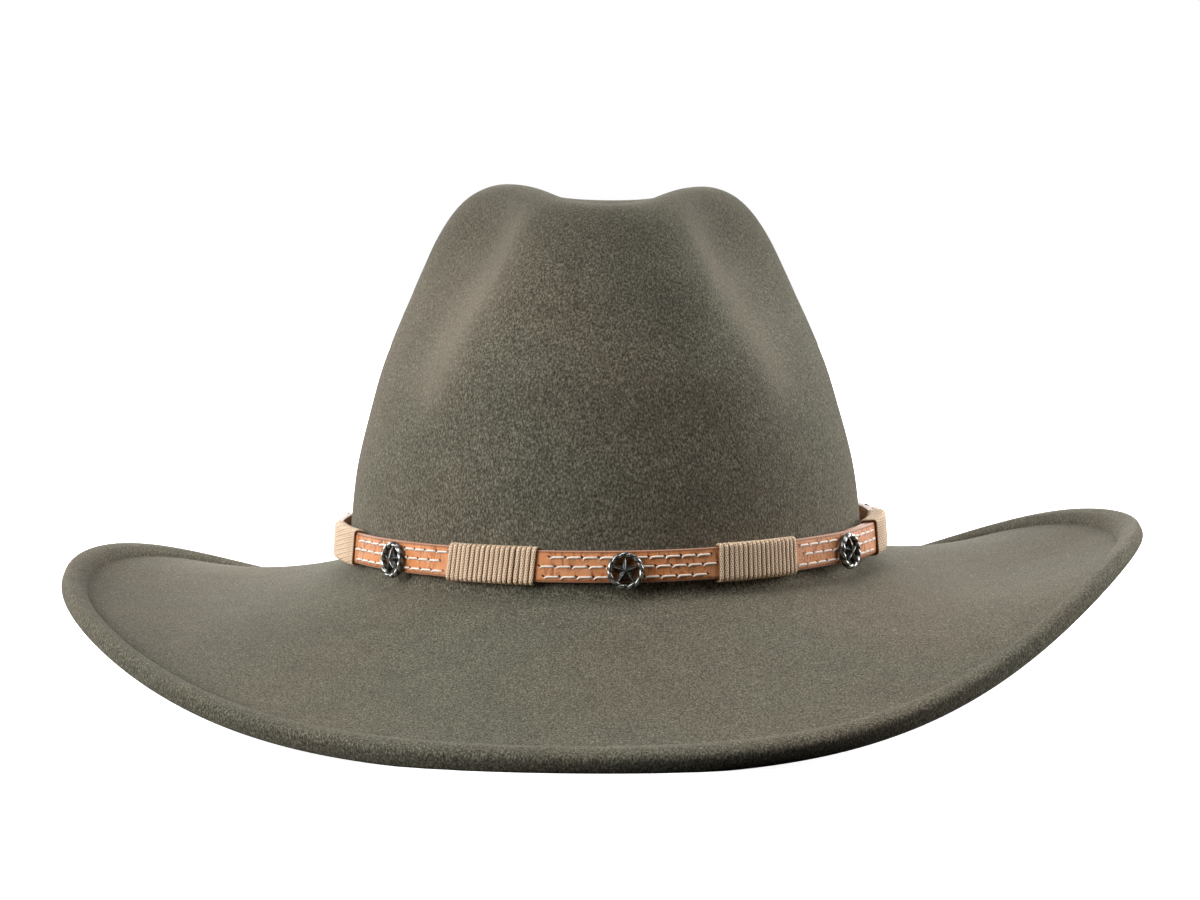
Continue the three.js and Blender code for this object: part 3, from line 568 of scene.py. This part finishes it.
# Running stitches. Three rows of waxed off-white linen thread sewn through the strap: on its face each
# stitch starts with a short hook up from its hole, runs straight and dives into the next hole.
LINEN, LINEN_SHADE = "fffaf4", "e6d8c8"
THREAD_RADIUS, THREAD_SIDES, THREAD_SINK, THREAD_FIBRE = 0.33, 6, 0.06, 0.35
CLEAR_OF_END, CLEAR_OF_WRAP, CLEAR_OF_CONCHO = 3, 1.2, 3.2
STITCH_REACH = 4.45
# A stitch's path: share of its reach along the strap, then rise over the leather and shift up from the row,
# in mm.
STITCH_PATH = np.array([(-0.5, -0.35, -0.62), (-0.47, 0.16, -0.5), (-0.36, 0.3, -0.12), (-0.2, 0.3, 0.02),
                        (0.05, 0.28, 0.0), (0.3, 0.28, 0.0), (0.46, 0.18, 0.04), (0.5, -0.35, 0.06)])

waxed_linen, tree, shader = new_material("waxed_linen_thread")
spot = add(tree, "ShaderNodeTexCoord").outputs["Object"]
fibres = add(tree, "ShaderNodeTexNoise", {"Vector": spot, "Scale": 1 / (THREAD_FIBRE * MM),
                                          "Detail": 2}).outputs["Fac"]
linen = add(tree, "ShaderNodeMix", {0: fibres, 6: linear(LINEN_SHADE), 7: linear(LINEN)},
            data_type="RGBA").outputs[2]
linen_bump = add(tree, "ShaderNodeBump", {"Height": fibres, "Strength": 0.4, "Distance": 0.1 * MM}).outputs[0]
join(tree, shader, {"Base Color": linen, "Roughness": 0.7, "Specular IOR Level": 0.3, "Normal": linen_bump,
                    "Sheen Weight": 0.15})


def stitch_centres(row_start):
    """Lengths of one row's stitch middles, less those that a wrap, a concho or the outer layer hides."""
    count = np.arange(tail_start // STITCH_PITCH - 1, strap_end // STITCH_PITCH + 1)
    centres = row_start + STITCH_PITCH * (count + 0.5)
    shown = (centres > strap_end - loop_length + CLEAR_OF_END) & (centres < strap_end - CLEAR_OF_END)
    in_loop = np.mod(centres[:, None], loop_length)
    from_wrap = abs(in_loop - np.mod(wrap_lengths, loop_length)).min(1)
    from_concho = abs(in_loop - np.mod(concho_lengths, loop_length)).min(1)
    return centres[shown & (from_wrap > WRAP_LENGTH / 2 + CLEAR_OF_WRAP) & (from_concho > CLEAR_OF_CONCHO)]


thread = []
sides = np.linspace(0, 2 * np.pi, THREAD_SIDES, endpoint=False)
for row, start in zip(STITCH_ROWS, ROW_START):
    for middle in stitch_centres(start):
        lengths = middle + STITCH_PATH[:, 0] * STITCH_REACH
        place, along, up, out = (part[:, None, :] for part in frame_at_length(lengths, climb_at(lengths)))
        rise, shift = (STITCH_PATH[:, column, None, None] for column in (1, 2))
        ring = THREAD_RADIUS * (out * np.sin(sides)[None, :, None] + up * np.cos(sides)[None, :, None])
        height = STRAP_WIDTH * (0.5 - row) + shift
        lift = STRAP_THICKNESS + rise - THREAD_SINK
        thread.append(shell(place + out * lift + up * height + ring + axis_shift))
piece("running_stitches", thread, [], waxed_linen)

# Thread wraps. Cream waxed cord, braided round, wound side by side eighteen times about the strap and
# tucked in behind it. The wrap on the +X side binds the strap's two ends together.
CORD_TURNS = 18
CORD_HALF_WIDTH, CORD_HALF_THICKNESS = 0.76, 0.52
CORD_STEPS, CORD_SIDES = 52, 12
# The last colour on the next line is painted shade for the gaps between windings and the braid's grooves.
CORD_CREAM, CORD_LIGHT, CORD_PAINTED_SHADE = "f6d0a8", "ffeacf", "80552f"
BRAID_PITCH, BRAID_STRANDS, WAX_SPOT = 1.5, 4.0, 0.6
# Room in front of the strap and at its edges, how far the cord is tucked behind, and the bend round the
# edges.
FACE_CLEAR, SIDE_CLEAR, CORD_TUCK, CORD_BEND = 0.12, 0.02, 0.3, 0.8
# Where a turn starts, as a share of it, the step over which its heading is taken, and the slips of the
# winding hand.
TURN_START, HEADING_STEP, WINDING_SEED, SLIP_SPREAD = 0.72, 0.3, 40, 0.11

braided_cord, tree, shader = new_material("waxed_braided_cord")
# The attribute place holds the length along the cord, the angle round it as a share of a turn and the
# winding's number. Two sets of strands cross: the braid is the larger of two slanted waves.
place = add(tree, "ShaderNodeAttribute", attribute_name="place").outputs["Vector"]
parts = add(tree, "ShaderNodeSeparateXYZ", {0: place}).outputs
waves = []
for hand in (1, -1):
    slant = add(tree, "ShaderNodeMath", {0: parts[1], 1: BRAID_STRANDS * hand}, operation="MULTIPLY").outputs[0]
    run = add(tree, "ShaderNodeMath", {0: parts[0], 1: 1 / BRAID_PITCH}, operation="MULTIPLY").outputs[0]
    phase = add(tree, "ShaderNodeMath", {0: run, 1: slant}, operation="ADD").outputs[0]
    turned = add(tree, "ShaderNodeMath", {0: phase, 1: 2 * np.pi}, operation="MULTIPLY").outputs[0]
    waves.append(add(tree, "ShaderNodeMath", {0: turned}, operation="SINE").outputs[0])
strand = add(tree, "ShaderNodeMath", {0: waves[0], 1: waves[1]}, operation="MAXIMUM").outputs[0]
braid_unshaded = add(tree, "ShaderNodeMapRange", {"Value": strand, "From Min": -0.5, "From Max": 0.6}).outputs[0]
# Painted shade darkens the cord low in the gaps between windings and in the braid's grooves, not on its crest.
crest = add(tree, "ShaderNodeMapRange", {"Value": parts[1], "From Min": 0.54, "From Max": 0.7}).outputs[0]
unshaded_share = add(tree, "ShaderNodeMath", {0: braid_unshaded, 1: crest}, operation="MULTIPLY").outputs[0]
spot = add(tree, "ShaderNodeTexCoord").outputs["Object"]
wax = add(tree, "ShaderNodeTexNoise", {"Vector": spot, "Scale": 1 / (WAX_SPOT * MM), "Detail": 2}).outputs["Fac"]
body = add(tree, "ShaderNodeMix", {0: wax, 6: linear(CORD_CREAM), 7: linear(CORD_LIGHT)},
           data_type="RGBA").outputs[2]
cord_colour = add(tree, "ShaderNodeMix", {0: unshaded_share, 6: linear(CORD_PAINTED_SHADE), 7: body},
                  data_type="RGBA").outputs[2]
cord_bump = add(tree, "ShaderNodeBump", {"Height": strand, "Strength": 0.6, "Distance": 0.12 * MM}).outputs[0]
join(tree, shader, {"Base Color": cord_colour, "Roughness": 0.6, "Specular IOR Level": 0.35, "Normal": cord_bump,
                    "Sheen Weight": 0.1})


def round_outline(outline, run, at):
    """Points of a closed outline at lengths round it, where run holds each outline point's own length."""
    return np.stack([np.interp(at % run[-1], run, outline[:, axis]) for axis in (0, 1)], -1)


def wound_cord(number):
    """One cord wound about the strap: its middle goes round a rounded box while it advances along the strap
    by one pitch a turn, with small slips from a seeded draw, and an ellipse is carried along it."""
    draw = np.random.default_rng(WINDING_SEED + number)
    layers = STRAP_THICKNESS + layer_pitch * (number == BINDING_WRAP)
    box = rounded_box(-CORD_TUCK, layers + FACE_CLEAR + CORD_HALF_THICKNESS,
                      STRAP_WIDTH / 2 + SIDE_CLEAR + CORD_HALF_THICKNESS, CORD_BEND)
    box = np.concatenate([box, box[:1]])
    run = np.concatenate([[0], np.cumsum(np.linalg.norm(np.diff(box, axis=0), axis=1))])
    total = CORD_TURNS * CORD_STEPS
    count = np.arange(total + 1) / CORD_STEPS
    back = (count + TURN_START) % 1 * run[-1]
    behind, centre, ahead = (round_outline(box, run, back + step) for step in (-HEADING_STEP, 0, HEADING_STEP))
    heading = unit(ahead - behind)
    away = np.stack([heading[:, 1], -heading[:, 0]], -1)
    slips = np.interp(count, np.arange(CORD_TURNS + 1), draw.normal(0, SLIP_SPREAD, CORD_TURNS + 1))
    pitch = (WRAP_LENGTH - 2 * CORD_HALF_WIDTH) / CORD_TURNS
    length = wrap_lengths[number] + pitch * (count - CORD_TURNS / 2) + slips
    place, along, up, out = frame_at_length(length)
    middle = place + out * centre[:, :1] + up * centre[:, 1:]
    normal = out * away[:, :1] + up * away[:, 1:]
    angle = np.linspace(0, 2 * np.pi, CORD_SIDES, endpoint=False)[None, :, None]
    grid = (middle[:, None] + normal[:, None] * CORD_HALF_THICKNESS * np.cos(angle)
            + along[:, None] * CORD_HALF_WIDTH * np.sin(angle)) + axis_shift
    travelled = np.broadcast_to((count * run[-1])[:, None], grid.shape[:2])
    # The share round the cord climbs and falls again, so that it has no jump.
    share = abs(np.linspace(-1, 1, CORD_SIDES, endpoint=False))[None, :] + 0 * travelled
    where = np.stack([travelled, share, travelled * 0 + number], -1).reshape(-1, 3)
    return grid, np.concatenate([where, where[:1], where[-1:]])


for number in range(STATIONS):
    grid, where = wound_cord(number)
    piece(f"wound_cord_{number + 1}", [shell(grid)], [f"thread_wrap_{number + 1}"], braided_cord,
          [where])

# Star conchos. Cast pewter-like ornaments, blackened and rubbed: a rope-twisted ring with a ridged
# five-point star in it, pierced between them so that the leather shows. A post through the strap holds each
# one.
CONCHO_RADIUS, CONCHO_RING, CONCHO_HEIGHT, CONCHO_DROP = 5.6, 1.7, 2.3, 1.3
STAR_EDGE, STAR_PEAK, STAR_NOTCH, STAR_POINTS = 1.2, 2.6, 1.7, 5
STAR_RINGS, STAR_STEPS, STAR_BACK = 14, 12, 0.6
ROPE_STRANDS, ROPE_SLANT, ROPE_DIP, ROPE_POWER = 12, 2, 0.26, 0.7
POST_RADIUS, POST_TOP, POST_SHORT = 1.0, 0.8, 0.05
CAST_GRIT = 0.45
METAL_DARK, METAL_MID, METAL_BRIGHT = "484947", "a2a39f", "e8e8e2"

antiqued_metal, tree, shader = new_material("antiqued_cast_metal")
# The attribute place holds how proud the surface lies, from 0 in the hollows to 1 on the rubbed ridges.
place = add(tree, "ShaderNodeAttribute", attribute_name="place").outputs["Vector"]
proud = add(tree, "ShaderNodeSeparateXYZ", {0: place}).outputs[0]
spot = add(tree, "ShaderNodeTexCoord").outputs["Object"]
casting = add(tree, "ShaderNodeTexNoise", {"Vector": spot, "Scale": 1 / (CAST_GRIT * MM),
                                           "Detail": 3}).outputs["Fac"]
lightened = add(tree, "ShaderNodeMath", {0: proud, 1: casting}, operation="MULTIPLY").outputs[0]
body = add(tree, "ShaderNodeMapRange", {"Value": lightened, "From Min": 0.08, "From Max": 0.3}).outputs[0]
shine = add(tree, "ShaderNodeMapRange", {"Value": lightened, "From Min": 0.34, "From Max": 0.56}).outputs[0]
dull = add(tree, "ShaderNodeMix", {0: body, 6: linear(METAL_DARK), 7: linear(METAL_MID)},
           data_type="RGBA").outputs[2]
metal_colour = add(tree, "ShaderNodeMix", {0: shine, 6: dull, 7: linear(METAL_BRIGHT)},
                   data_type="RGBA").outputs[2]
metal_rough = add(tree, "ShaderNodeMapRange", {"Value": lightened, "From Max": 0.5, "To Min": 0.5,
                                               "To Max": 0.2}).outputs[0]
metal_bump = add(tree, "ShaderNodeBump", {"Height": casting, "Strength": 0.35, "Distance": 0.12 * MM}).outputs[0]
join(tree, shader, {"Base Color": metal_colour, "Metallic": 0.9, "Roughness": metal_rough, "Normal": metal_bump})


def rope_ring():
    """A torus of oval section whose radius dips between strands that wind round it: the dip follows the
    cosine of half of the strand count times the turn less the slant times the angle round the section."""
    turn = np.linspace(0, 2 * np.pi, 180, endpoint=False)[:, None]
    angle = np.linspace(0, 2 * np.pi, 16, endpoint=False)[None, :]
    crest = abs(np.cos((ROPE_STRANDS * turn - ROPE_SLANT * angle) / 2)) ** ROPE_POWER
    swell = 1 - ROPE_DIP + ROPE_DIP * crest
    radius = CONCHO_RADIUS - CONCHO_RING / 2 + CONCHO_RING / 2 * swell * np.cos(angle)
    height = CONCHO_HEIGHT / 2 * (1 + swell * np.sin(angle))
    grid = np.stack([radius * np.cos(turn), radius * np.sin(turn), height + 0 * turn], -1)
    lightened = crest**2 * (0.35 + 0.65 * np.clip(np.sin(angle), 0, 1)) + 0 * turn
    return grid, lightened


def ridged_star():
    """A star over a grid of rings: each ring's outline goes straight between points and notches. Its height
    falls from the middle to the edge, with ridges to the points and valleys to the notches. The last rings
    go down the side and under."""
    corners = np.arange(2 * STAR_POINTS + 1)
    reach = np.where(corners % 2, STAR_NOTCH, CONCHO_RADIUS - CONCHO_RING / 2)
    bearing = np.pi / 2 - np.pi * corners / STAR_POINTS
    at = np.linspace(0, 2 * STAR_POINTS, STAR_STEPS * 2 * STAR_POINTS, endpoint=False)
    outline = np.stack([np.interp(at, corners, reach * np.cos(bearing)),
                        np.interp(at, corners, reach * np.sin(bearing))], -1)
    ridge = 1 - abs((at + 1) % 2 - 1)[None, :]
    share = np.linspace(0.04, 1, STAR_RINGS)[:, None]
    height = STAR_EDGE + (STAR_PEAK - STAR_EDGE) * (1 - share) * (0.55 + 0.45 * ridge)
    height = height + ridge**2 * share * (1 - share)
    face = np.concatenate([outline[None] * share[..., None], height[..., None] + 0 * outline[None, :, :1]], -1)
    side = np.concatenate([outline, 0 * outline[:, :1]], -1)[None]
    grid = np.concatenate([face, side + [0, 0, STAR_BACK], side, side * 0.05])
    lightened = ridge**3 * (0.5 + 0.5 * (1 - share)) + 0.25 * (1 - share)
    return grid, np.concatenate([lightened, 0 * ridge, 0 * ridge, 0 * ridge])


def post():
    """A plain round post from under the star through the strap."""
    turn = np.linspace(0, 2 * np.pi, 12, endpoint=False)[None, :]
    level = np.array([POST_TOP, 0.0, -GAP - STRAP_THICKNESS + POST_SHORT])[:, None]
    flat = 0 * (turn + level)
    return np.stack([POST_RADIUS * np.cos(turn) + flat, POST_RADIUS * np.sin(turn) + flat, level + flat], -1), flat


def concho_parts():
    """The three closed skins of a concho in its own frame, with each point's rub."""
    made = []
    for (grid, lightened), looped in ((rope_ring(), True), (ridged_star(), False), (post(), False)):
        points, quads, fans = shell(grid, looped=looped)
        rub = lightened.reshape(-1)
        if not looped:
            rub = np.concatenate([rub, [lightened[0].mean(), lightened[-1].mean()]])
        made.append((points, quads, fans, np.stack([rub, rub * 0, rub * 0], -1)))
    return made


cast_skins = concho_parts()
for number, length in enumerate(concho_lengths):
    # It lies on the strap's outer layer, along the straight from one edge of the ring to the other.
    spread = length + CONCHO_RADIUS * np.array([-1, 0, 1])
    outer_layer = spread + loop_length * (spread + loop_length < strap_end)
    seats, _, ups, _ = frame_at_length(spread, climb_at(outer_layer))
    along = unit(seats[2] - seats[0])
    up = unit(ups[1] - along * (ups[1] @ along))
    out = np.cross(along, up)
    seat = seats[1] + out * (STRAP_THICKNESS + GAP) - up * CONCHO_DROP + axis_shift
    turned = np.array([along, up, out])
    skins = [(points @ turned + seat, quads, fans) for points, quads, fans, _ in cast_skins]
    piece(f"cast_concho_{number + 1}", skins, [f"star_concho_{number + 1}"], antiqued_metal,
          [rub for *_, rub in cast_skins])

# Stage. A round white light table that glows evenly in a white room, as for a catalogue picture, and soft
# lamps round the hat. Table and room are only seen: what lights the hat is the lamps.
FLOOR_RADIUS, FLOOR_SIDES = 2.5, 96
white_table, tree, shader = new_material("white_light_table")
join(tree, shader, {"Base Color": linear("f2f2f1"), "Roughness": 0.9, "Specular IOR Level": 0.1,
                    "Emission Color": linear("ffffff"), "Emission Strength": 0.9})
bearing = np.linspace(0, 2 * np.pi, FLOOR_SIDES, endpoint=False)
rim = np.stack([FLOOR_RADIUS * np.cos(bearing), FLOOR_RADIUS * np.sin(bearing), 0 * bearing], -1)
floor_mesh = bpy.data.meshes.new("light_table")
floor_mesh.from_pydata(rim, [], [list(range(FLOOR_SIDES))])
floor_mesh.materials.append(white_table)
floor = bpy.data.objects.new("light_table", floor_mesh)
floor.visible_diffuse = floor.visible_glossy = False
bpy.context.scene.collection.objects.link(floor)

# Lamps, one metre square and two metres from the hat's middle: bearing from the hat's front towards +X and
# height above the table in degrees, and power in watts.
LAMP_SIZE, LAMP_DISTANCE, LAMP_AIM = 1.0, 2.0, (0, 0, 0.07)
LAMPS = {
    "back_right": (120, 8, 36), "back": (180, 8, 30), "back_left": (-150, 8, 20), "rim_left": (-120, 8, 11),
    "side_left": (-90, 10, 5), "key_left": (-60, 20, 34), "side_right": (90, 30, 20), "top_back": (150, 30, 12),
    "top_left": (-35, 50, 11), "overhead": (0, 90, 13),
}
for name, (bearing, height, power) in LAMPS.items():
    data = bpy.data.lights.new(name, "AREA")
    data.size, data.energy = LAMP_SIZE, power
    lamp = bpy.data.objects.new(name, data)
    bearing, height = np.radians([bearing, height])
    away = (np.cos(height) * np.sin(bearing), -np.cos(height) * np.cos(bearing), np.sin(height))
    lamp.location = np.array(LAMP_AIM) + LAMP_DISTANCE * np.array(away)
    lamp.rotation_euler = (np.pi / 2 - height, 0, bearing)
    bpy.context.scene.collection.objects.link(lamp)

world = bpy.data.worlds.new("white_air")
world.use_nodes = True
world.node_tree.nodes["Background"].inputs["Color"].default_value = (1, 1, 1, 1)
world.node_tree.nodes["Background"].inputs["Strength"].default_value = 1.0
bpy.context.scene.world = world
world.cycles_visibility.diffuse = world.cycles_visibility.glossy = False
bpy.context.scene.view_settings.view_transform = "Standard"

# The camera stands 1.3 m from the hat's middle, 4.55 degrees above it, with the frame 1200 x 900 in mind.
CAMERA_DISTANCE, CAMERA_RISE, CAMERA_AIM = 1.3, np.radians(4.55), (-0.0006, 0, 0.0743)
LENS, SENSOR_WIDTH = 121.9, 36
camera_data = bpy.data.cameras.new("camera")
camera_data.lens, camera_data.sensor_width = LENS, SENSOR_WIDTH
camera = bpy.data.objects.new("camera", camera_data)
towards_camera = np.array([0, -np.cos(CAMERA_RISE), np.sin(CAMERA_RISE)])
camera.location = np.array(CAMERA_AIM) + CAMERA_DISTANCE * towards_camera
camera.rotation_euler = (np.pi / 2 - CAMERA_RISE, 0, 0)
bpy.context.scene.collection.objects.link(camera)
bpy.context.scene.camera = camera
